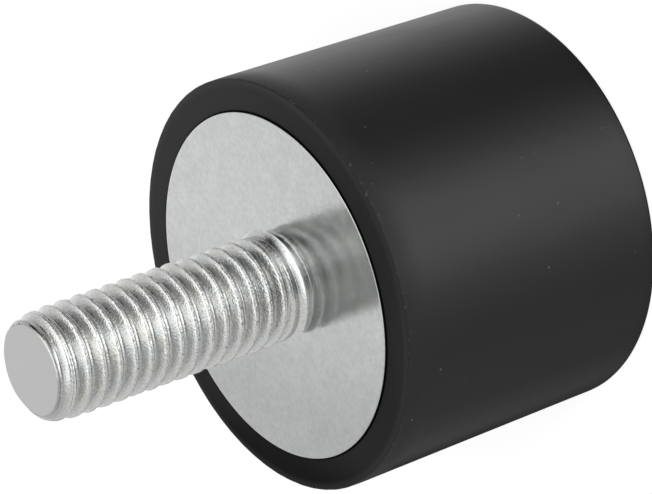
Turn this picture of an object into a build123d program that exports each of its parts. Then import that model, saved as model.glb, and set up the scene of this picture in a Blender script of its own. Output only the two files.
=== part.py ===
from build123d import *
import os

# A cylindrical rubber buffer with one threaded stud, in millimetres.
# It stands on its plain rubber end, with the stud pointing up along +Z,
# and its origin is the middle of that end.

# Rubber body
BODY_DIAMETER = 30.0
BODY_HEIGHT = 22.6         # from the plain end to the face of the steel plate
RIM_WIDTH = 2.4            # rubber ring that shows round the plate
RIM_EDGE_RADIUS = 0.15     # rounding of the rubber's outer edge at the stud end
FOOT_EDGE_RADIUS = 0.3     # rounding of the rubber's outer edge at the plain end

# Steel end plate, set into the rubber
PLATE_THICKNESS = 2.0
PLATE_PROUD = 0.12         # how far its face stands above the rubber ring
PLATE_EDGE_RADIUS = 0.12   # rounding that stamping leaves round its face
PLATE_BACK_CHAMFER = 0.3   # bevel round its back, buried in the rubber

# Threaded stud, measured from the plate's face
STUD_DIAMETER = 7.9        # over the crests of a rolled M8 thread
STUD_LENGTH = 20.0
TIP_CHAMFER = 0.57         # bevel at the tip, nearly down to the thread's core
SEAT_STEP = 0.2            # the shank is this much thicker where it is pressed into the plate
SEAT_CONE = 0.6            # above the plate's face it narrows to the crests over this length
HEAD_OVERHANG = 2.8        # how far the head reaches past the crests, behind the plate
HEAD_THICKNESS = 1.8
HEAD_BEVEL = 0.3           # bevel round the buried side of the head

# Places that follow from the sizes
PLATE_DIAMETER = BODY_DIAMETER - 2 * RIM_WIDTH
FACE_Z = BODY_HEIGHT
RIM_Z = FACE_Z - PLATE_PROUD
PLATE_BACK_Z = FACE_Z - PLATE_THICKNESS
HEAD_BACK_Z = PLATE_BACK_Z - HEAD_THICKNESS
TIP_Z = FACE_Z + STUD_LENGTH


def turned(*corners):
    """One solid of revolution about Z, from the corners of its half section as (radius, height)."""
    return revolve(Plane.XZ * make_face(Polyline(*corners, close=True)), Axis.Z)


def edge_at(solid, radius, height):
    """The round edge of a solid at one radius and one height."""
    near = 1e-4
    return [
        edge
        for edge in solid.edges().filter_by(GeomType.CIRCLE)
        if abs(edge.radius - radius) < near and abs(edge.center().Z - height) < near
    ]


def make_stud():
    """The stud, with its buried head, its thicker seat in the plate and its bevelled tip."""
    crest = STUD_DIAMETER / 2
    seat = crest + SEAT_STEP
    head = crest + HEAD_OVERHANG
    stud = turned(
        (0, HEAD_BACK_Z),
        (head, HEAD_BACK_Z),
        (head, PLATE_BACK_Z),
        (seat, PLATE_BACK_Z),
        (seat, FACE_Z),
        (crest, FACE_Z + SEAT_CONE),
        (crest, TIP_Z - TIP_CHAMFER),
        (crest - TIP_CHAMFER, TIP_Z),
        (0, TIP_Z),
    )
    return chamfer(edge_at(stud, head, HEAD_BACK_Z), HEAD_BEVEL)


def make_plate(stud):
    """The stamped disc, with the hole that the stud's seat is pressed into."""
    outer = PLATE_DIAMETER / 2
    disc = turned((0, PLATE_BACK_Z), (outer, PLATE_BACK_Z), (outer, FACE_Z), (0, FACE_Z))
    disc = fillet(edge_at(disc, outer, FACE_Z), PLATE_EDGE_RADIUS)
    disc = chamfer(edge_at(disc, outer, PLATE_BACK_Z), PLATE_BACK_CHAMFER)
    return disc - stud


def make_rubber(plate, stud):
    """The moulded block, bonded to the back and the edge of the plate and round the stud's head."""
    outer = BODY_DIAMETER / 2
    block = turned((0, 0), (outer, 0), (outer, RIM_Z), (0, RIM_Z))
    block = fillet(edge_at(block, outer, RIM_Z), RIM_EDGE_RADIUS)
    block = fillet(edge_at(block, outer, 0), FOOT_EDGE_RADIUS)
    return block - plate - stud


threaded_stud = make_stud()
end_plate = make_plate(threaded_stud)
rubber_body = make_rubber(end_plate, threaded_stud)

os.makedirs("parts", exist_ok=True)
export_step(rubber_body, "parts/rubber_body.step")
export_step(end_plate, "parts/end_plate.step")
export_step(threaded_stud, "parts/threaded_stud.step")
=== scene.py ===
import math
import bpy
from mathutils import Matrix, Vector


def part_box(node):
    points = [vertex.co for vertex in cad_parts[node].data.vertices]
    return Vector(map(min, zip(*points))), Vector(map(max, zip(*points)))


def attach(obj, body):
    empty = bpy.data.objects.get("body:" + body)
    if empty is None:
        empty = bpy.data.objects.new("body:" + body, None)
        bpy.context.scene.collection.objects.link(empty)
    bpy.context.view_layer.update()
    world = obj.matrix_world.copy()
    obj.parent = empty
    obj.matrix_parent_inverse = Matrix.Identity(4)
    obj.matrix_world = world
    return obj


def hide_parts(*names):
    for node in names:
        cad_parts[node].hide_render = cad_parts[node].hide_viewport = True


bl_info = {
    "name": "Rubber buffer",
    "version": (1, 0, 0),
    "blender": (4, 5, 0),
    "location": "3D View > Sidebar > Buffer",
    "description": "Dresses the packed rubber buffer and sets up the studio round it",
    "category": "Object",
}

import bmesh
import bpy
import numpy as np
from bpy.props import BoolProperty, FloatProperty, FloatVectorProperty, IntProperty, PointerProperty
from mathutils import Matrix, Vector

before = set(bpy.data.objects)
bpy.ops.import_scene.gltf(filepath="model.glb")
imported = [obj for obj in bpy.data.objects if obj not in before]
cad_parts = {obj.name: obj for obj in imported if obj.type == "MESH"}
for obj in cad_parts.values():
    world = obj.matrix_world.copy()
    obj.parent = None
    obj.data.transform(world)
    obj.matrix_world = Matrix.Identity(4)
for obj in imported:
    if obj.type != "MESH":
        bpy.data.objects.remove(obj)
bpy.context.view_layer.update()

MM = 0.001
TURN = 2 * math.pi

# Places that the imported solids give, in metres. Z runs from the plain rubber end to the stud's tip.
BODY_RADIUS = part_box("rubber_body")[1].x
RIM_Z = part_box("rubber_body")[1].z
PLATE_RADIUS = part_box("end_plate")[1].x
PLATE_BACK_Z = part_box("end_plate")[0].z
FACE_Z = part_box("end_plate")[1].z
HEAD_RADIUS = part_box("threaded_stud")[1].x
HEAD_BACK_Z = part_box("threaded_stud")[0].z
TIP_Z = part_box("threaded_stud")[1].z

# Buried bevels of those solids.
PLATE_BACK_BEVEL = 0.3 * MM
HEAD_BEVEL = 0.3 * MM

# The rubber and the disc have the same mesh columns, so that they meet.
ROUND_COLUMNS = 240


def linear(hex_colour):
    """The linear red, green and blue of an sRGB hex colour."""
    parts = [int(hex_colour[i : i + 2], 16) / 255 for i in (1, 3, 5)]
    return tuple(p / 12.92 if p <= 0.04045 else ((p + 0.055) / 1.055) ** 2.4 for p in parts)


def opaque(rgb):
    """A colour with an alpha of 1, as a node's socket takes it."""
    return (*rgb, 1.0)


def toward(azimuth, elevation):
    """The direction at an azimuth and elevation in degrees. Azimuth 0 is -Y, and 90 is +X."""
    around, up = math.radians(azimuth), math.radians(elevation)
    return Vector((math.sin(around) * math.cos(up), -math.cos(around) * math.cos(up), math.sin(up)))


# Settings that a user would change


def length(name, description, default):
    """A property that holds a length in metres."""
    return FloatProperty(
        name=name, description=description, default=default, unit="LENGTH", min=0.0, precision=6
    )


def colour(name, description, default):
    """A property that holds a colour."""
    return FloatVectorProperty(
        name=name, description=description, default=linear(default), subtype="COLOR", size=3, min=0.0, max=1.0
    )


class RubberSettings(bpy.types.PropertyGroup):
    """Sizes and colours of the rubber block"""

    rim_edge: length("Rim edge", "Rounding of the outer edge at the stud end", 0.15 * MM)
    foot_edge: length("Foot edge", "Rounding of the outer edge at the plain end", 0.3 * MM)
    gap_width: length("Gap width", "Width of the fine groove round the plate", 0.16 * MM)
    gap_depth: length("Gap depth", "Depth of that groove", 0.14 * MM)
    swell: length("Unevenness", "How far the moulded side strays from a true cylinder", 0.02 * MM)
    flash: length("Flash", "How far the trimmed rim's edge strays", 0.05 * MM)
    side: colour("Side", "Carbon-black natural rubber as it leaves the mould", "#0D0D0D")
    ring: colour("Ring", "The same rubber where it was trimmed", "#0D0D0D")
    # The bloom colour also makes the pale specks along the rim's edge, which are partly painted highlight.
    bloom: colour("Bloom", "Dust, wax and crumbs on the rubber's surface", "#5A5A58")


class PlateSettings(bpy.types.PropertyGroup):
    """Sizes and colours of the disc"""

    edge: length("Edge", "Rounding that stamping leaves round the face", 0.045 * MM)
    bore: length("Bore", "Diameter of the hole that the stud is pressed into", 8.3 * MM)
    zinc: colour("Zinc", "Bright zinc plating on stamped sheet", "#D1D3D2")
    # This colour is painted shade: the near-black coat on the disc's rim, for the dark gap round the plate.
    rim_shade: colour("Bond", "Black bonding agent on the disc's rim and back", "#050505")


class StudSettings(bpy.types.PropertyGroup):
    """Sizes and colours of the stud"""

    crest_width: length("Crest diameter", "Over the crests of the rolled M8 thread", 7.87 * MM)
    taper: length("Taper", "How much lower the crests are rolled at the tip", 0.05 * MM)
    seat_width: length("Seat diameter", "Where the shank is pressed into the plate", 8.3 * MM)
    cone_height: length("Cone height", "Height over which the seat narrows to the neck", 0.27 * MM)
    neck_width: length("Neck diameter", "Between the seat's cone and the thread", 7.52 * MM)
    neck_length: length("Neck length", "From the cone to the ridge", 0.21 * MM)
    land: length("Land", "From the ridge to the start of the thread", 0.15 * MM)
    ridge: length("Ridge", "How far the rolled metal stands up at the end of the neck", 0.05 * MM)
    pitch: length("Pitch", "From one crest to the next, 1.25 mm on a coarse M8 thread", 1.25 * MM)
    depth: length("Thread depth", "From the crests to the root", 0.72 * MM)
    run_out: length("Run-out", "Length over which the thread's groove deepens", 0.75 * MM)
    crest_growth: length("Crest growth", "Length over which the first crests grow", 2.1 * MM)
    tip_growth: length("Tip growth", "Length over which the last crests fall", 0.75 * MM)
    tip_drop: length("Tip drop", "How far the tip's edge lies below the crests", 0.55 * MM)
    tip_bevel: length("Tip bevel", "Width of the small bevel round the flat end", 0.1 * MM)
    first_crest: length("First crest", "Height of a crest above the plate, on the +X side", 1.16 * MM)
    right_hand: BoolProperty(name="Right hand", description="Hand of the thread", default=False)
    dents: length("Dents", "How far the crests are knocked flat in places", 0.06 * MM)
    columns: IntProperty(
        name="Columns", description="Mesh columns round the thread", default=236, min=24, max=400
    )
    zinc: colour("Zinc", "Bright zinc plating on the thread's crests", "#DEDFDE")
    # The root colour is partly thinner plating and partly painted shade down in the thread.
    root: colour("Root", "The same plating, duller down in the thread", "#B9BAB9")
    end: colour("End", "The same plating on the flat end", "#BDBEBD")
    dirt: colour("Dirt", "Dark specks in the seams of the crests", "#5C5C5B")


class StudioSettings(bpy.types.PropertyGroup):
    """The camera, the light and the floor"""

    azimuth: FloatProperty(
        name="Azimuth", description="Camera's angle round the buffer, in degrees", default=-0.42
    )
    elevation: FloatProperty(
        name="Elevation", description="Camera's angle above the floor, in degrees", default=33.613
    )
    roll: FloatProperty(
        name="Roll", description="Camera's turn about its own axis, in degrees", default=109.17
    )
    distance: length("Distance", "From the camera to the point that it looks at", 225.3 * MM)
    aim: FloatVectorProperty(
        name="Aim",
        description="Point that the camera looks at",
        default=(1.38 * MM, 0.0, 17.13 * MM),
        subtype="XYZ",
    )
    lens: FloatProperty(name="Lens", description="Focal length, in millimetres", default=175.69, min=1.0)
    floor_size: length("Floor size", "Side of the square floor", 6.0)
    surroundings: FloatProperty(
        name="Surroundings", description="Brightness between the panels", default=0.73, min=0.0
    )
    fill: FloatProperty(name="Fill", description="Even light on matt surfaces", default=0.5, min=0.0)
    lamp: FloatProperty(name="Lamp", description="Watts of the lamp that casts the shadow", default=8.0)
    white: colour("White", "The floor and the backdrop", "#FFFFFF")


SETTINGS = {
    "buffer_rubber": RubberSettings,
    "buffer_plate": PlateSettings,
    "buffer_stud": StudSettings,
    "buffer_studio": StudioSettings,
}


# Meshes

# Each wave has a number of lobes round the circle and a length along the axis, in metres. A length
# of 1 m keeps it the same at all heights.
SIDE_WAVES = ((2, 0.05), (3, 0.04), (7, 0.03), (11, 0.02))
RIM_WAVES = ((23, 1.0), (41, 1.0), (67, 1.0))
CREST_WAVES = ((31, 0.9 * MM), (47, 0.7 * MM), (71, 0.5 * MM))
DENT_WAVES = ((5, 3.1 * MM), (13, 2.3 * MM), (19, 1.7 * MM))
SEAM_WAVES = ((53, 0.9 * MM), (79, 0.6 * MM), (101, 0.5 * MM))


def wavy(angle, height, waves, seed):
    """A smooth irregular number from -1 to 1 for each angle and height, which closes round the circle."""
    draw = np.random.default_rng(seed)
    total = np.zeros(np.broadcast(angle, height).shape)
    for lobes, period in waves:
        phase, lean = draw.uniform(0, TURN, 2)
        total = total + np.sin(lobes * angle + phase) * np.cos(TURN * height / period + lean)
    return total / len(waves)


def eased(distance, span):
    """0 where a distance is 0 or less, 1 where it is the span or more, and smooth between."""
    share = np.clip(distance / span, 0, 1)
    return share * share * (3 - 2 * share)


def deeper(depth, floor, blend):
    """The larger of a depth and a floor, with a smooth change from one to the other over the blend."""
    return blend * np.logaddexp(depth / blend, floor / blend) - blend * np.log1p(np.exp(-floor / blend))


def columns_round(count):
    """The angles of mesh columns round the circle, one to a row."""
    return np.linspace(0, TURN, count, endpoint=False)[:, None]


def turned(outline, angle):
    """Radius at each angle, and height, for the places (radius, height) of a profile."""
    radius, height = np.array(outline).T[:, None, :]
    return radius * np.ones_like(angle), height


def ring_grid(radius, height, angle):
    """Points of a turned surface: one row for each angle, one column for each place on the profile."""
    height = np.broadcast_to(height, radius.shape)
    return np.stack([radius * np.cos(angle), radius * np.sin(angle), height], axis=-1)


def add_grid(mesh, points, skip=0):
    """Adds a grid that closes round the circle to a bmesh. After one turn it climbs by skip rows."""
    turns, rows = points.shape[:2]
    corners = [[mesh.verts.new(p) for p in column] for column in points.tolist()]
    for i in range(turns):
        here, there = corners[i], corners[(i + 1) % turns]
        climb = skip if i == turns - 1 else 0
        for j in range(rows - 1 - climb):
            mesh.faces.new((here[j], there[j + climb], there[j + 1 + climb], here[j + 1]))


def arc(centre, radius, start, end, steps):
    """Points (radius, height) on an arc of a profile, angles in degrees."""
    turns = np.radians(np.linspace(start, end, steps))
    return [(centre[0] + radius * math.cos(a), centre[1] + radius * math.sin(a)) for a in turns]


def put_in_scene(name, data):
    """A new object with that data, in the scene."""
    thing = bpy.data.objects.new(name, data)
    bpy.context.scene.collection.objects.link(thing)
    return thing


def finish_mesh(name, mesh, materials):
    """Turns a bmesh into a smooth-shaded piece that rides on the buffer's one body."""
    same_place = 1e-7
    sharp_turn = math.radians(40)
    bmesh.ops.remove_doubles(mesh, verts=mesh.verts, dist=same_place)
    bmesh.ops.dissolve_degenerate(mesh, dist=same_place, edges=mesh.edges)
    bmesh.ops.recalc_face_normals(mesh, faces=mesh.faces)
    data = bpy.data.meshes.new(name)
    mesh.to_mesh(data)
    mesh.free()
    for material in materials:
        data.materials.append(material)
    data.shade_smooth()
    data.set_sharp_from_angle(angle=sharp_turn)
    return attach(put_in_scene(name, data), "root")


# Materials

# The values that a noise pattern takes: nearly all of them, and the middle ones.
NOISE_SPREAD = {"From Min": 0.3, "From Max": 0.7}
NOISE_MIDDLE = {"From Min": 0.35, "From Max": 0.65}
RUBBER_IOR = 1.52


def add(tree, kind, inputs=None, **settings):
    """Adds a node, with its settings, and with a value or a link for each input that is named."""
    node = tree.nodes.new(kind)
    for name, value in settings.items():
        setattr(node, name, value)
    for socket, value in (inputs or {}).items():
        if isinstance(value, bpy.types.NodeSocket):
            tree.links.new(value, node.inputs[socket])
        else:
            node.inputs[socket].default_value = value
    return node


def new_material(name):
    """A material with its own empty node tree, and that tree."""
    material = bpy.data.materials.new(name)
    material.use_nodes = True
    material.node_tree.nodes.clear()
    return material, material.node_tree


def from_axis(tree, place):
    """How far a place is from the buffer's axis, as a socket."""
    across = add(tree, "ShaderNodeVectorMath", {0: place, 1: (1.0, 1.0, 0.0)}, operation="MULTIPLY")
    far = add(tree, "ShaderNodeVectorMath", {0: across.outputs["Vector"]}, operation="LENGTH")
    return far.outputs["Value"]


def grained(tree, place, size, detail, strength, relief):
    """The normal of a grained surface, as a socket. Real grain is too fine to show: it is drawn coarser."""
    grain = add(tree, "ShaderNodeTexNoise", {"Vector": place, "Scale": 1 / size, "Detail": detail})
    bump = add(
        tree, "ShaderNodeBump", {"Height": grain.outputs["Fac"], "Strength": strength, "Distance": relief}
    )
    return bump.outputs["Normal"]


def moulded_rubber(settings):
    """Carbon-black natural rubber, vulcanised in a polished mould: a satin black skin."""
    # The eye sees soft, wide highlights, a fine grain and a little pale dust.
    smear_size = 3.0 * MM
    dust_spacing = 1.3 * MM
    crumb_size = 0.24 * MM
    crumb_start, crumb_end = RIM_Z - 0.45 * MM, RIM_Z - 0.1 * MM
    worn_start = RIM_Z - 2.6 * MM
    material, tree = new_material("Natural rubber, moulded")
    place = add(tree, "ShaderNodeTexCoord").outputs["Object"]
    # Handling leaves it a little glossier in some places, in patches drawn out along the axis.
    drawn = add(tree, "ShaderNodeMapping", {"Vector": place, "Scale": (1.0, 1.0, 0.3)}).outputs["Vector"]
    wiped = add(tree, "ShaderNodeTexNoise", {"Vector": drawn, "Scale": 1 / smear_size, "Detail": 3.0})
    gloss = add(
        tree,
        "ShaderNodeMapRange",
        {**NOISE_SPREAD, "Value": wiped.outputs["Fac"], "To Min": 0.29, "To Max": 0.35},
    )
    # A speck of dust in some cells of the pattern: the higher a cell's random red, the smaller its
    # speck, down to none.
    dust = add(tree, "ShaderNodeTexVoronoi", {"Vector": place, "Scale": 1 / dust_spacing})
    size = add(tree, "ShaderNodeSeparateColor", {"Color": dust.outputs["Color"]})
    away = add(
        tree,
        "ShaderNodeMath",
        {0: size.outputs["Red"], 1: 0.16, 2: dust.outputs["Distance"]},
        operation="MULTIPLY_ADD",
    )
    speck = add(
        tree,
        "ShaderNodeMapRange",
        {"Value": away.outputs[0], "From Min": 0.04, "From Max": 0.1, "To Min": 0.8, "To Max": 0.0},
    )
    # Toward the rim the skin loses its polish. Pale specks cling to the very edge: crumbs of trimmed rubber,
    # and painted highlight along that edge.
    up = add(tree, "ShaderNodeSeparateXYZ", {"Vector": place}).outputs["Z"]
    crumbs = add(tree, "ShaderNodeTexNoise", {"Vector": place, "Scale": 1 / crumb_size, "Detail": 1.0})
    at_edge = add(
        tree,
        "ShaderNodeMapRange",
        {"Value": up, "From Min": crumb_start, "From Max": crumb_end, "To Max": 0.3},
    )
    crumbs_and_edge_glint = add(
        tree,
        "ShaderNodeMapRange",
        {
            "Value": crumbs.outputs["Fac"],
            "From Min": 0.6,
            "From Max": 0.76,
            "To Max": at_edge.outputs["Result"],
        },
    )
    dust_and_edge_glint = add(
        tree, "ShaderNodeMath", {0: speck.outputs["Result"], 1: crumbs_and_edge_glint.outputs["Result"]}, operation="MAXIMUM"
    )
    base = add(
        tree,
        "ShaderNodeMix",
        {"Factor": dust_and_edge_glint.outputs[0], "A": opaque(settings.side), "B": opaque(settings.bloom)},
        data_type="RGBA",
    )
    worn = add(
        tree,
        "ShaderNodeMapRange",
        {"Value": up, "From Min": worn_start, "From Max": RIM_Z, "To Max": 0.25},
        interpolation_type="SMOOTHSTEP",
    )
    rough = add(
        tree, "ShaderNodeMath", {0: gloss.outputs["Result"], 1: worn.outputs["Result"]}, operation="ADD"
    )
    shader = add(
        tree,
        "ShaderNodeBsdfPrincipled",
        {
            "Base Color": base.outputs[2],
            "Roughness": rough.outputs[0],
            "Specular IOR Level": 0.33,
            "IOR": RUBBER_IOR,
            "Normal": grained(tree, place, size=0.22 * MM, detail=3.0, strength=0.25, relief=0.02 * MM),
        },
    )
    add(tree, "ShaderNodeOutputMaterial", {"Surface": shader.outputs["BSDF"]})
    return material


def trimmed_rubber(settings):
    """The same rubber where its flash was trimmed off, round the plate and on the plain end: dull."""
    # The eye sees a flat, even black that hardly shines.
    far_side = 13.8 * MM
    skin_start, skin_end = BODY_RADIUS - 0.75 * MM, BODY_RADIUS - 0.2 * MM
    gap_dark, gap_lit = PLATE_RADIUS + 0.04 * MM, PLATE_RADIUS + 0.11 * MM
    material, tree = new_material("Natural rubber, trimmed")
    place = add(tree, "ShaderNodeTexCoord").outputs["Object"]
    # Painted sheen: the trimmed face is given more shine on one side, and least opposite, standing in for a
    # brighter reflection on that side. Each patch has its azimuth, the distance from the axis where it
    # starts, and its change in shine.
    shine = 0.17
    for azimuth, start, change in ((110, 0.0, 0.2), (243, 9.7 * MM, -0.13), (0, 8.5 * MM, 0.06)):
        side = add(tree, "ShaderNodeVectorMath", {0: place, 1: toward(azimuth, 0)}, operation="DOT_PRODUCT")
        patch = add(
            tree,
            "ShaderNodeMapRange",
            {"Value": side.outputs["Value"], "From Min": start, "From Max": far_side, "To Max": change},
            interpolation_type="SMOOTHSTEP",
        )
        both = add(tree, "ShaderNodeMath", {0: shine, 1: patch.outputs["Result"]}, operation="ADD")
        shine = both.outputs[0]
    # A little of the skin is left along the outer edge.
    radius = from_axis(tree, place)
    skin = add(
        tree,
        "ShaderNodeMapRange",
        {"Value": radius, "From Min": skin_start, "From Max": skin_end, "To Max": 0.14},
        interpolation_type="SMOOTHSTEP",
    )
    shine = add(tree, "ShaderNodeMath", {0: shine, 1: skin.outputs["Result"]}, operation="ADD").outputs[0]
    # Painted shade: the colour and the shine are darker in the groove round the plate, where hardly any light
    # comes back out. The plain end has no groove.
    up = add(tree, "ShaderNodeSeparateXYZ", {"Vector": place}).outputs["Z"]
    in_groove = add(
        tree,
        "ShaderNodeMapRange",
        {"Value": up, "From Min": 0.5 * RIM_Z, "From Max": 0.9 * RIM_Z, "To Min": 1.0, "To Max": 0.3},
    )
    lit = add(
        tree,
        "ShaderNodeMapRange",
        {"Value": radius, "From Min": gap_dark, "From Max": gap_lit, "To Min": in_groove.outputs["Result"]},
    )
    shine = add(tree, "ShaderNodeMath", {0: shine, 1: lit.outputs["Result"]}, operation="MULTIPLY").outputs[0]
    base = add(tree, "ShaderNodeVectorMath", {0: tuple(settings.ring)}, operation="SCALE")
    tree.links.new(lit.outputs["Result"], base.inputs["Scale"])
    shader = add(
        tree,
        "ShaderNodeBsdfPrincipled",
        {
            "Base Color": base.outputs["Vector"],
            "Roughness": 0.7,
            "Specular IOR Level": shine,
            "IOR": RUBBER_IOR,
            "Normal": grained(tree, place, size=0.15 * MM, detail=4.0, strength=0.4, relief=0.02 * MM),
        },
    )
    add(tree, "ShaderNodeOutputMaterial", {"Surface": shader.outputs["BSDF"]})
    return material


def plated_sheet(settings):
    """Cold-rolled sheet, stamped and bright zinc plated: a soft mirror."""
    # The eye sees blurred reflections, faint clouds and flecks in the plating and a hint of the
    # sheet's grain.
    cloud_size, fleck_size = 1.7 * MM, 0.35 * MM
    burnished_radius, plain_radius = 5 * MM, 8 * MM
    dull_end, bright_end = -11 * MM, 4 * MM
    material, tree = new_material("Zinc plated steel, stamped")
    place = add(tree, "ShaderNodeTexCoord").outputs["Object"]
    cloud = add(tree, "ShaderNodeTexNoise", {"Vector": place, "Scale": 1 / cloud_size, "Detail": 5.0})
    gloss = add(
        tree,
        "ShaderNodeMapRange",
        {**NOISE_SPREAD, "Value": cloud.outputs["Fac"], "To Min": 0.1, "To Max": 0.14},
    )
    # Pressing in the stud burnished the sheet round it, and farther out it mirrors less sharply.
    burnished = add(
        tree,
        "ShaderNodeMapRange",
        {
            "Value": from_axis(tree, place),
            "From Min": burnished_radius,
            "From Max": plain_radius,
            "To Min": -0.03,
            "To Max": 0.035,
        },
        interpolation_type="SMOOTHSTEP",
    )
    rough = add(
        tree, "ShaderNodeMath", {0: gloss.outputs["Result"], 1: burnished.outputs["Result"]}, operation="ADD"
    )
    tint = add(
        tree,
        "ShaderNodeMapRange",
        {**NOISE_SPREAD, "Value": cloud.outputs["Fac"], "To Min": 0.96, "To Max": 1.03},
    )
    # Painted shade: the colour is darker toward one side of the disc, standing in for a darker reflection
    # there.
    side = add(tree, "ShaderNodeVectorMath", {0: place, 1: toward(60, 0)}, operation="DOT_PRODUCT")
    dull = add(
        tree,
        "ShaderNodeMapRange",
        {"Value": side.outputs["Value"], "From Min": dull_end, "From Max": bright_end, "To Min": 0.75},
        interpolation_type="SMOOTHSTEP",
    )
    mottle = add(tree, "ShaderNodeTexNoise", {"Vector": place, "Scale": 1 / fleck_size, "Detail": 2.0})
    fleck = add(
        tree,
        "ShaderNodeMapRange",
        {**NOISE_MIDDLE, "Value": mottle.outputs["Fac"], "To Min": 0.94, "To Max": 1.04},
    )
    tone = tint.outputs["Result"]
    for part in (dull, fleck):
        both = add(tree, "ShaderNodeMath", {0: tone, 1: part.outputs["Result"]}, operation="MULTIPLY")
        tone = both.outputs[0]
    base = add(tree, "ShaderNodeVectorMath", {0: tuple(settings.zinc)}, operation="SCALE")
    tree.links.new(tone, base.inputs["Scale"])
    shader = add(
        tree,
        "ShaderNodeBsdfPrincipled",
        {
            "Base Color": base.outputs["Vector"],
            "Metallic": 1.0,
            "Roughness": rough.outputs[0],
            "Normal": grained(tree, place, size=0.15 * MM, detail=3.0, strength=0.15, relief=0.01 * MM),
        },
    )
    add(tree, "ShaderNodeOutputMaterial", {"Surface": shader.outputs["BSDF"]})
    return material


def shaded_rim_coat(settings):
    """Painted shade: a thin near-black coat on the disc's rim and back, for the dark gap between steel and
    rubber.
    """
    # The eye sees only a black line round the plate: the shade in that gap.
    blotch_size = 0.4 * MM
    material, tree = new_material("Rim coat, painted shade")
    place = add(tree, "ShaderNodeTexCoord").outputs["Object"]
    blotch = add(tree, "ShaderNodeTexNoise", {"Vector": place, "Scale": 1 / blotch_size, "Detail": 2.0})
    blotchy = add(tree, "ShaderNodeMapRange", {"Value": blotch.outputs["Fac"], "To Min": 0.6, "To Max": 0.8})
    shader = add(
        tree,
        "ShaderNodeBsdfPrincipled",
        {
            "Base Color": opaque(settings.rim_shade),
            "Roughness": blotchy.outputs["Result"],
            "Specular IOR Level": 0.1,
            "IOR": 1.5,
        },
    )
    add(tree, "ShaderNodeOutputMaterial", {"Surface": shader.outputs["BSDF"]})
    return material


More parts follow.
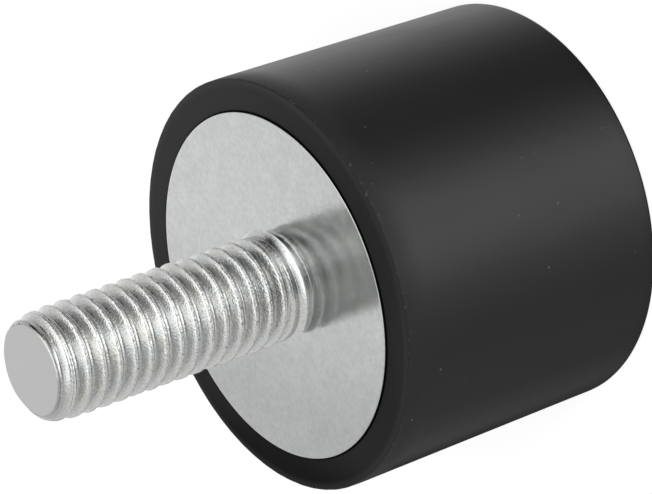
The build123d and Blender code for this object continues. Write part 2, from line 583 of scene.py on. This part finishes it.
def plated_thread(settings):
    """Steel with a rolled thread, bright zinc plated."""
    # The eye sees bright crests with dark specks in their seams, a grainy sparkle on the flanks and
    # duller roots. The real grain is a few hundredths of a millimetre, and it is drawn coarser.
    grain_size = 0.14 * MM
    cast_size = 1.4 * MM
    spot_size = 0.17 * MM
    crest = settings.crest_width / 2
    root, bright = crest - settings.depth, crest - 0.2 * MM
    seam_start, seam_end = crest - 0.1 * MM, crest - 0.04 * MM
    clean_end, dirty_start = FACE_Z + 1.4 * MM, FACE_Z + 2 * MM
    middle = (FACE_Z + TIP_Z) / 2
    rolled_reach = (TIP_Z - FACE_Z) / 2 - 0.8 * MM
    smooth_reach = rolled_reach + 0.4 * MM
    material, tree = new_material("Zinc plated steel, rolled thread")
    place = add(tree, "ShaderNodeTexCoord").outputs["Object"]
    radius = from_axis(tree, place)
    # The roots are darker than the crests: partly thinner plating, partly painted shade down in the thread.
    height = add(tree, "ShaderNodeMapRange", {"Value": radius, "From Min": root, "From Max": bright})
    metal = add(
        tree,
        "ShaderNodeMix",
        {"Factor": height.outputs["Result"], "A": opaque(settings.root), "B": opaque(settings.zinc)},
        data_type="RGBA",
    )
    grain = add(tree, "ShaderNodeTexNoise", {"Vector": place, "Scale": 1 / grain_size, "Detail": 2.0})
    sparkle = add(
        tree,
        "ShaderNodeMapRange",
        {**NOISE_MIDDLE, "Value": grain.outputs["Fac"], "To Min": 0.86, "To Max": 1.08},
    )
    sparkling = add(tree, "ShaderNodeVectorMath", {0: metal.outputs[2]}, operation="SCALE")
    tree.links.new(sparkle.outputs["Result"], sparkling.inputs["Scale"])
    # Its passivation has a faint cast, yellow in places and blue in others.
    cast = add(tree, "ShaderNodeTexNoise", {"Vector": place, "Scale": 1 / cast_size, "Detail": 1.0})
    warm = add(tree, "ShaderNodeMapRange", {"Value": cast.outputs["Fac"], "From Min": 0.42, "From Max": 0.58})
    hue = add(
        tree,
        "ShaderNodeMix",
        {"Factor": warm.outputs["Result"], "A": (0.985, 0.995, 1.0, 1.0), "B": (1.0, 0.99, 0.97, 1.0)},
        data_type="RGBA",
    )
    tinted = add(
        tree,
        "ShaderNodeVectorMath",
        {0: sparkling.outputs["Vector"], 1: hue.outputs[2]},
        operation="MULTIPLY",
    )
    # Dirt in the seam of the crests: only near their full radius, above the seat, and only in spots.
    up = add(tree, "ShaderNodeSeparateXYZ", {"Vector": place}).outputs["Z"]
    above = add(tree, "ShaderNodeMapRange", {"Value": up, "From Min": clean_end, "From Max": dirty_start})
    near_crest = add(
        tree,
        "ShaderNodeMapRange",
        {"Value": radius, "From Min": seam_start, "From Max": seam_end, "To Max": above.outputs["Result"]},
    )
    spots = add(tree, "ShaderNodeTexNoise", {"Vector": place, "Scale": 1 / spot_size, "Detail": 1.0})
    spotty = add(
        tree,
        "ShaderNodeMapRange",
        {"Value": spots.outputs["Fac"], "From Min": 0.56, "From Max": 0.66, "To Max": 0.7},
    )
    dirty = add(
        tree,
        "ShaderNodeMath",
        {0: near_crest.outputs["Result"], 1: spotty.outputs["Result"]},
        operation="MULTIPLY",
    )
    base = add(
        tree,
        "ShaderNodeMix",
        {"Factor": dirty.outputs[0], "A": tinted.outputs["Vector"], "B": opaque(settings.dirt)},
        data_type="RGBA",
    )
    gloss = add(
        tree,
        "ShaderNodeMapRange",
        {**NOISE_SPREAD, "Value": grain.outputs["Fac"], "To Min": 0.1, "To Max": 0.17},
    )
    # The grain comes from rolling, so the plain shank at the foot and the bevel at the tip are smoother.
    offset = add(tree, "ShaderNodeMath", {0: up, 1: middle}, operation="SUBTRACT").outputs[0]
    from_middle = add(tree, "ShaderNodeMath", {0: offset}, operation="ABSOLUTE").outputs[0]
    strength = add(
        tree,
        "ShaderNodeMapRange",
        {
            "Value": from_middle,
            "From Min": rolled_reach,
            "From Max": smooth_reach,
            "To Min": 1.0,
            "To Max": 0.3,
        },
    )
    bump = add(
        tree,
        "ShaderNodeBump",
        {"Height": grain.outputs["Fac"], "Strength": strength.outputs["Result"], "Distance": 0.03 * MM},
    )
    shader = add(
        tree,
        "ShaderNodeBsdfPrincipled",
        {
            "Base Color": base.outputs[2],
            "Metallic": 1.0,
            "Roughness": gloss.outputs["Result"],
            "Normal": bump.outputs["Normal"],
        },
    )
    add(tree, "ShaderNodeOutputMaterial", {"Surface": shader.outputs["BSDF"]})
    return material


def cropped_end(settings):
    """The flat end of the wire, cropped and bright zinc plated: an even, silky grey."""
    # The eye sees one flat tone, with hardly any grain.
    material, tree = new_material("Zinc plated steel, cropped")
    place = add(tree, "ShaderNodeTexCoord").outputs["Object"]
    shader = add(
        tree,
        "ShaderNodeBsdfPrincipled",
        {
            "Base Color": opaque(settings.end),
            "Metallic": 1.0,
            "Roughness": 0.3,
            "Normal": grained(tree, place, size=0.2 * MM, detail=2.0, strength=0.1, relief=0.01 * MM),
        },
    )
    add(tree, "ShaderNodeOutputMaterial", {"Surface": shader.outputs["BSDF"]})
    return material


# Pieces


class MouldRubber(bpy.types.Operator):
    """Builds the moulded rubber block, with its trimmed rim and the seat of the plate and the stud's head"""

    bl_idname = "buffer.mould_rubber"
    bl_label = "Mould the rubber"

    def execute(self, context):
        settings = context.scene.buffer_rubber
        angle = columns_round(ROUND_COLUMNS)
        foot, rim = settings.foot_edge, settings.rim_edge
        gap, deep = settings.gap_width, settings.gap_depth
        radius, height = turned(self.profile(foot, rim, gap, deep), angle)
        # The side leans in and out a little; the rim's edge more, where it was trimmed. Both only
        # take rubber away, so that the block stays inside its solid.
        flash_band = 0.6 * MM
        on_side = np.clip(height / foot, 0, 1) * (radius > BODY_RADIUS - 1.5 * rim)
        near_rim = np.clip((height - (RIM_Z - flash_band)) / flash_band, 0, 1) * on_side
        uneven = wavy(angle, height, SIDE_WAVES, seed=3) - 1
        ragged = wavy(angle, height, RIM_WAVES, seed=5) - 1
        radius = radius + 0.5 * settings.swell * uneven * on_side + 0.5 * settings.flash * ragged * near_rim
        mesh = bmesh.new()
        add_grid(mesh, ring_grid(radius, height, angle))
        for face in mesh.faces:
            middle = face.calc_center_median()
            out = math.hypot(middle.x, middle.y)
            on_ring = middle.z > RIM_Z - 1.2 * deep and out < BODY_RADIUS - 0.6 * rim
            on_plain_end = middle.z < 0.01 * MM
            face.material_index = 1 if on_ring or on_plain_end else 0
        piece = finish_mesh("moulded_rubber", mesh, [moulded_rubber(settings), trimmed_rubber(settings)])
        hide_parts("rubber_body")
        return {"FINISHED"}

    @staticmethod
    def profile(foot, rim, gap, deep):
        """The block's profile, from the middle of the plain end over the side and the ring to the seat."""
        side_rows, ring_rows, arc_rows = 34, 8, 8
        inner_ring = 7 * MM
        foot_margin, rim_margin = 0.3 * MM, 0.1 * MM
        rise = np.linspace(foot, RIM_Z - rim, side_rows)[1:-1]
        inward = np.linspace(BODY_RADIUS - rim - rim_margin, PLATE_RADIUS + gap, ring_rows)
        plain_end = [(0.0, 0.0), (inner_ring, 0.0), (BODY_RADIUS - foot - foot_margin, 0.0)]
        foot_arc = arc((BODY_RADIUS - foot, foot), foot, -90, 0, arc_rows)
        side = [(BODY_RADIUS, z) for z in rise]
        rim_arc = arc((BODY_RADIUS - rim, RIM_Z - rim), rim, 0, 90, arc_rows)
        ring = [(r, RIM_Z) for r in inward]
        groove = [
            (PLATE_RADIUS + 0.7 * gap, RIM_Z - 0.2 * deep),
            (PLATE_RADIUS + 0.25 * gap, RIM_Z - deep),
            (PLATE_RADIUS, RIM_Z - 1.1 * deep),
        ]
        seat = [
            (PLATE_RADIUS, PLATE_BACK_Z + PLATE_BACK_BEVEL),
            (PLATE_RADIUS - PLATE_BACK_BEVEL, PLATE_BACK_Z),
            (HEAD_RADIUS, PLATE_BACK_Z),
            (HEAD_RADIUS, HEAD_BACK_Z + HEAD_BEVEL),
            (HEAD_RADIUS - HEAD_BEVEL, HEAD_BACK_Z),
            (0.0, HEAD_BACK_Z),
        ]
        return plain_end + foot_arc + side + rim_arc + ring + groove + seat


class StampDisc(bpy.types.Operator):
    """Builds the stamped disc, plated on its face, with a near-black coat of painted shade on its rim and
    back
    """

    bl_idname = "buffer.stamp_disc"
    bl_label = "Stamp the disc"

    def execute(self, context):
        settings = context.scene.buffer_plate
        angle = columns_round(ROUND_COLUMNS)
        edge, bore = settings.edge, settings.bore / 2
        edge_rows, face_rows = 6, 6
        coat_margin = 0.02 * MM
        outline = [
            (bore, PLATE_BACK_Z),
            (PLATE_RADIUS - PLATE_BACK_BEVEL, PLATE_BACK_Z),
            (PLATE_RADIUS, PLATE_BACK_Z + PLATE_BACK_BEVEL),
            (PLATE_RADIUS, FACE_Z - edge - coat_margin),
        ]
        outline += arc((PLATE_RADIUS - edge, FACE_Z - edge), edge, 0, 90, edge_rows)
        outline += [(r, FACE_Z) for r in np.linspace(PLATE_RADIUS - 3 * edge, bore, face_rows)]
        outline += outline[:1]
        mesh = bmesh.new()
        add_grid(mesh, ring_grid(*turned(outline, angle), angle))
        for face in mesh.faces:
            face.material_index = 1 if face.calc_center_median().z < FACE_Z - edge else 0
        piece = finish_mesh("stamped_disc", mesh, [plated_sheet(settings), shaded_rim_coat(settings)])
        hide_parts("end_plate")
        return {"FINISHED"}


class RollStud(bpy.types.Operator):
    """Builds the stud: its head, its pressed seat, its rolled thread and its bevelled tip"""

    bl_idname = "buffer.roll_stud"
    bl_label = "Roll the stud"

    def execute(self, context):
        settings = context.scene.buffer_stud
        angle = columns_round(settings.columns)
        hand = 1 if settings.right_hand else -1
        pitch = settings.pitch
        foot = self.foot_profile(settings)
        thread_start = foot[-1][1]
        mesh = bmesh.new()
        add_grid(mesh, ring_grid(*turned(foot, angle), angle))

        # Places on the small bevel round the flat tip: how far in from the thread, and how far down.
        inward = np.array([0.0, 0.1, 0.9, 1.0, 1.5]) * settings.tip_bevel
        down = np.array([0.9, 0.78, 0.06, 0.0, 0.0]) * settings.tip_bevel

        # The thread: rows follow the helix, closer together over the crests. The spare turns beyond
        # each end are pressed flat there, and merge. The lowest row lies up to 0.012 mm off the top
        # of the land below it, and that slit stays open.
        spare_turns = 2
        half = np.array([0.0, 0.02, 0.045, 0.07, 0.1, 0.14, 0.19, 0.25, 0.31, 0.37, 0.43, 0.5, 0.56]) * MM
        one_pitch = np.concatenate([half, pitch - half[:0:-1]])
        first_turn = math.floor((thread_start - FACE_Z - settings.first_crest) / pitch) - spare_turns
        last_turn = math.ceil((TIP_Z - FACE_Z - settings.first_crest) / pitch) + spare_turns
        rows = np.concatenate([one_pitch + k * pitch for k in range(first_turn, last_turn)])
        height = FACE_Z + settings.first_crest + rows[None, :] + pitch * angle / TURN
        height = np.clip(height, thread_start, TIP_Z - down[0])
        radius = self.thread_radius(settings, height, angle, thread_start)
        add_grid(mesh, ring_grid(radius, height, hand * angle), skip=len(one_pitch))

        # The bevel, and the flat face in rings down to its middle.
        rings = np.array([[2.2, 1.1, 0.0]]) * MM * np.ones_like(angle)
        tip_radius = np.hstack([radius[:, -1:] - inward, rings])
        tip_height = TIP_Z - np.append(down, np.zeros(rings.shape[1]))[None, :]
        add_grid(mesh, ring_grid(tip_radius, tip_height, hand * angle))
        for face in mesh.faces:
            on_end = face.calc_center_median().z > TIP_Z - 0.001 * MM
            face.material_index = 1 if on_end else 0
        piece = finish_mesh("rolled_stud", mesh, [plated_thread(settings), cropped_end(settings)])
        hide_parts("threaded_stud")
        return {"FINISHED"}

    @staticmethod
    def foot_profile(settings):
        """The profile below the thread: head, shank in the plate, cone, neck, ridge and land."""
        seat, neck = settings.seat_width / 2, settings.neck_width / 2
        cone_z = FACE_Z + settings.cone_height
        neck_z = cone_z + settings.neck_length
        below_face = 0.2 * MM
        # Each step up the ridge: its share of the ridge, and its height above the neck.
        ridge_steps = ((0.3, 0.03 * MM), (0.8, 0.05 * MM), (1.0, 0.08 * MM))
        return [
            (0.0, HEAD_BACK_Z),
            (HEAD_RADIUS - HEAD_BEVEL, HEAD_BACK_Z),
            (HEAD_RADIUS, HEAD_BACK_Z + HEAD_BEVEL),
            (HEAD_RADIUS, PLATE_BACK_Z),
            (seat, PLATE_BACK_Z),
            (seat, FACE_Z - below_face),
            (seat, FACE_Z),
            (neck + 0.1 * (seat - neck), cone_z - 0.1 * settings.cone_height),
            (neck + 0.02 * MM, cone_z + 0.01 * MM),
            (neck, cone_z + 0.04 * MM),
            (neck, neck_z),
            *((neck + share * settings.ridge, neck_z + rise) for share, rise in ridge_steps),
            (neck + settings.ridge, neck_z + settings.land),
        ]

    @staticmethod
    def thread_radius(settings, height, angle, thread_start):
        """Radius of the rolled thread at each height and angle."""
        full_crest = settings.crest_width / 2
        crest_half, crest_band = 0.07 * MM, 0.15 * MM
        crest_round, root_round = 0.04 * MM, 0.05 * MM
        seam_size, ragged_size = 0.022 * MM, 0.01 * MM
        blend = 0.02 * MM
        flank_lean = math.radians(30)
        lead = (height - FACE_Z - settings.first_crest) / settings.pitch - angle / TURN
        off_crest = np.abs((lead + 0.5) % 1 - 0.5) * settings.pitch
        # The V of the thread, rounded at the crests and in the roots, and shallower where it starts.
        steepness = 1 / math.tan(flank_lean)
        slope = (off_crest - crest_half) * steepness
        depth = crest_round * np.log1p(np.exp(slope / crest_round))
        depth = -root_round * np.log(np.exp(-depth / root_round) + np.exp(-settings.depth / root_round))
        depth = depth * eased(height - thread_start, settings.run_out)
        # Rolling doesn't fill the first and the last crests: they stay low, wide and split by a seam.
        grown = eased(height - thread_start, settings.crest_growth)
        missing = (full_crest - settings.neck_width / 2 - settings.ridge) * (1 - grown)
        missing = missing + settings.tip_drop * np.exp(-(TIP_Z - height) / settings.tip_growth)
        depth = deeper(depth, missing, blend)
        broken = 1 + 0.8 * wavy(angle, height, SEAM_WAVES, seed=23)
        seam_width = seam_size + 0.1 * missing
        seam = (seam_size + 0.15 * missing) * broken * np.exp(-((off_crest / seam_width) ** 2))
        ragged = ragged_size * (wavy(angle, height, CREST_WAVES, seed=11) - 1)
        # Handling has knocked the crests flat in places.
        knock = wavy(angle, height, DENT_WAVES, seed=19)
        depth = deeper(depth, settings.dents * np.clip(1.6 * knock + 0.1, 0, 1), blend)
        # The seam and the ragged edge are only on the crests, and not where the thread starts.
        started = np.clip(4 * (height - thread_start) / settings.run_out, 0, 1)
        on_crest = np.clip(1 - (depth - missing) / crest_band, 0, 1) * started
        taper = settings.taper * np.clip((height - FACE_Z) / (TIP_Z - FACE_Z), 0, 1)
        return full_crest - depth - taper - (seam - ragged) * on_crest


# Soft round panels in the surroundings: azimuth and elevation of the middle, half angle of the full
# core and of the outer edge, in degrees, and the change in brightness. Azimuth 0 is the camera's
# side, and 90 is +X.
PANELS = (
    (0, -30, 8, 28, 1.2),
    (0, -30, 15, 48, 0.55),
    (60, -33, 5, 36, -0.2),
    (-60, -33, 10, 45, 0.2),
    (142, -38, 8, 40, 0.5),
    (64, 72, 18, 51, 0.85),
    (21, -5, 8, 31, 0.85),
    (86, 24, 10, 36, -0.65),
    (175, 10, 8, 30, 0.35),
    (-150, -84, 25, 74, -0.75),
    (0, 35, 12, 38, -0.54),
    (110, 0, 8, 34, -0.15),
    (-174, -33, 6, 27, -0.5),
)


class BuildStudio(bpy.types.Operator):
    """Sets up the white floor, the surroundings, the lamp and the camera"""

    bl_idname = "buffer.build_studio"
    bl_label = "Build the studio"

    def execute(self, context):
        settings = context.scene.buffer_studio
        self.lay_floor(settings)
        self.surround(context.scene, settings)
        self.hang_lamp(settings)
        self.place_camera(context.scene, settings)
        context.scene.view_settings.view_transform = "Standard"
        return {"FINISHED"}

    @staticmethod
    def lay_floor(settings):
        """A white floor that shows a faint shadow. Gloss sees the surroundings instead of it."""
        half = settings.floor_size / 2
        # A hair below the rubber, so that the two faces don't fight, and clear when seen from below.
        low = -0.02 * MM
        corners = [(-half, -half, low), (half, -half, low), (half, half, low), (-half, half, low)]
        data = bpy.data.meshes.new("floor")
        data.from_pydata(corners, [], [(0, 1, 2, 3)])
        floor = put_in_scene("floor", data)
        floor.visible_glossy = False
        material, tree = new_material("White paper sweep")
        # The glow keeps the paper as white as the backdrop, and leaves the shadow faint.
        glow_share = 0.85
        glow = add(tree, "ShaderNodeEmission", {"Color": opaque(settings.white), "Strength": 1.0})
        paper = add(tree, "ShaderNodeBsdfDiffuse", {"Color": opaque(settings.white)})
        lit = add(tree, "ShaderNodeMixShader", {"Fac": glow_share, 1: paper.outputs[0], 2: glow.outputs[0]})
        below = add(tree, "ShaderNodeNewGeometry").outputs["Backfacing"]
        clear = add(tree, "ShaderNodeBsdfTransparent")
        seen = add(tree, "ShaderNodeMixShader", {"Fac": below, 1: lit.outputs[0], 2: clear.outputs[0]})
        add(tree, "ShaderNodeOutputMaterial", {"Surface": seen.outputs["Shader"]})
        data.materials.append(material)

    @staticmethod
    def surround(scene, settings):
        """White surroundings with brighter and darker panels, which only gloss and glass see."""
        world = bpy.data.worlds.new("Studio")
        scene.world = world
        world.use_nodes = True
        tree = world.node_tree
        tree.nodes.clear()
        way = add(tree, "ShaderNodeTexCoord").outputs["Generated"]
        level = settings.surroundings
        for azimuth, elevation, core, outer, change in PANELS:
            cosine = add(
                tree, "ShaderNodeVectorMath", {0: way, 1: toward(azimuth, elevation)}, operation="DOT_PRODUCT"
            )
            panel = add(
                tree,
                "ShaderNodeMapRange",
                {
                    "Value": cosine.outputs["Value"],
                    "From Min": math.cos(math.radians(outer)),
                    "From Max": math.cos(math.radians(core)),
                    "To Max": change,
                },
                interpolation_type="SMOOTHSTEP",
            )
            both = add(tree, "ShaderNodeMath", {0: level, 1: panel.outputs["Result"]}, operation="ADD")
            level = both.outputs[0]
        level = add(tree, "ShaderNodeMath", {0: level, 1: 0.0}, operation="MAXIMUM").outputs[0]
        # The camera sees plain white. Gloss and glass see the panels, and the rest gets an even
        # fill. Cycles keeps these apart only where it doesn't sample the world as a lamp.
        rays = add(tree, "ShaderNodeLightPath").outputs
        gloss = add(
            tree,
            "ShaderNodeMath",
            {0: rays["Is Glossy Ray"], 1: rays["Is Transmission Ray"]},
            operation="MAXIMUM",
        )
        unseen = add(
            tree,
            "ShaderNodeMix",
            {"Factor": gloss.outputs[0], "A": settings.fill, "B": level},
            data_type="FLOAT",
        )
        strength = add(
            tree,
            "ShaderNodeMix",
            {"Factor": rays["Is Camera Ray"], "A": unseen.outputs[0], "B": 1.0},
            data_type="FLOAT",
        )
        around = add(
            tree, "ShaderNodeBackground", {"Color": opaque(settings.white), "Strength": strength.outputs[0]}
        )
        add(tree, "ShaderNodeOutputWorld", {"Surface": around.outputs[0]})
        world.cycles.sampling_method = "NONE"

    @staticmethod
    def hang_lamp(settings):
        """A soft lamp high on the camera's side, which casts the shadow and isn't seen in gloss."""
        data = bpy.data.lights.new("lamp", "AREA")
        data.size = 0.4
        data.energy = settings.lamp
        lamp = put_in_scene("lamp", data)
        lamp.location = (0.0, -0.5, 0.8)
        lamp.rotation_euler = (-lamp.location).to_track_quat("-Z", "Y").to_euler()
        lamp.visible_glossy = False

    @staticmethod
    def place_camera(scene, settings):
        """The camera of the photograph: from above, and rolled so that the stud points to the left."""
        back = toward(settings.azimuth, settings.elevation)
        data = bpy.data.cameras.new("camera")
        data.lens = settings.lens
        data.clip_start = 0.01
        data.clip_end = 20.0
        facing = (-back).to_track_quat("-Z", "Y").to_matrix()
        rolled = facing @ Matrix.Rotation(-math.radians(settings.roll), 3, "Z")
        place = Vector(settings.aim) + back * settings.distance
        camera = put_in_scene("camera", data)
        camera.matrix_world = Matrix.Translation(place) @ rolled.to_4x4()
        scene.camera = camera


OPERATORS = (MouldRubber, StampDisc, RollStud, BuildStudio)


class BufferPanel(bpy.types.Panel):
    """The buffer's settings, and a button for each of its pieces and for the studio"""

    bl_idname = "VIEW3D_PT_buffer"
    bl_label = "Rubber buffer"
    bl_space_type = "VIEW_3D"
    bl_region_type = "UI"
    bl_category = "Buffer"

    def draw(self, context):
        for (name, group), operator in zip(SETTINGS.items(), OPERATORS):
            box = self.layout.box()
            box.operator(operator.bl_idname)
            for setting in group.__annotations__:
                box.prop(getattr(context.scene, name), setting)


def register():
    for name, group in SETTINGS.items():
        bpy.utils.register_class(group)
        setattr(bpy.types.Scene, name, PointerProperty(type=group))
    for operator in OPERATORS:
        bpy.utils.register_class(operator)
    bpy.utils.register_class(BufferPanel)


def unregister():
    bpy.utils.unregister_class(BufferPanel)
    for operator in reversed(OPERATORS):
        bpy.utils.unregister_class(operator)
    for name, group in reversed(SETTINGS.items()):
        delattr(bpy.types.Scene, name)
        bpy.utils.unregister_class(group)


def main():
    register()
    bpy.ops.buffer.mould_rubber()
    bpy.ops.buffer.stamp_disc()
    bpy.ops.buffer.roll_stud()
    bpy.ops.buffer.build_studio()


if __name__ == "__main__":
    main()
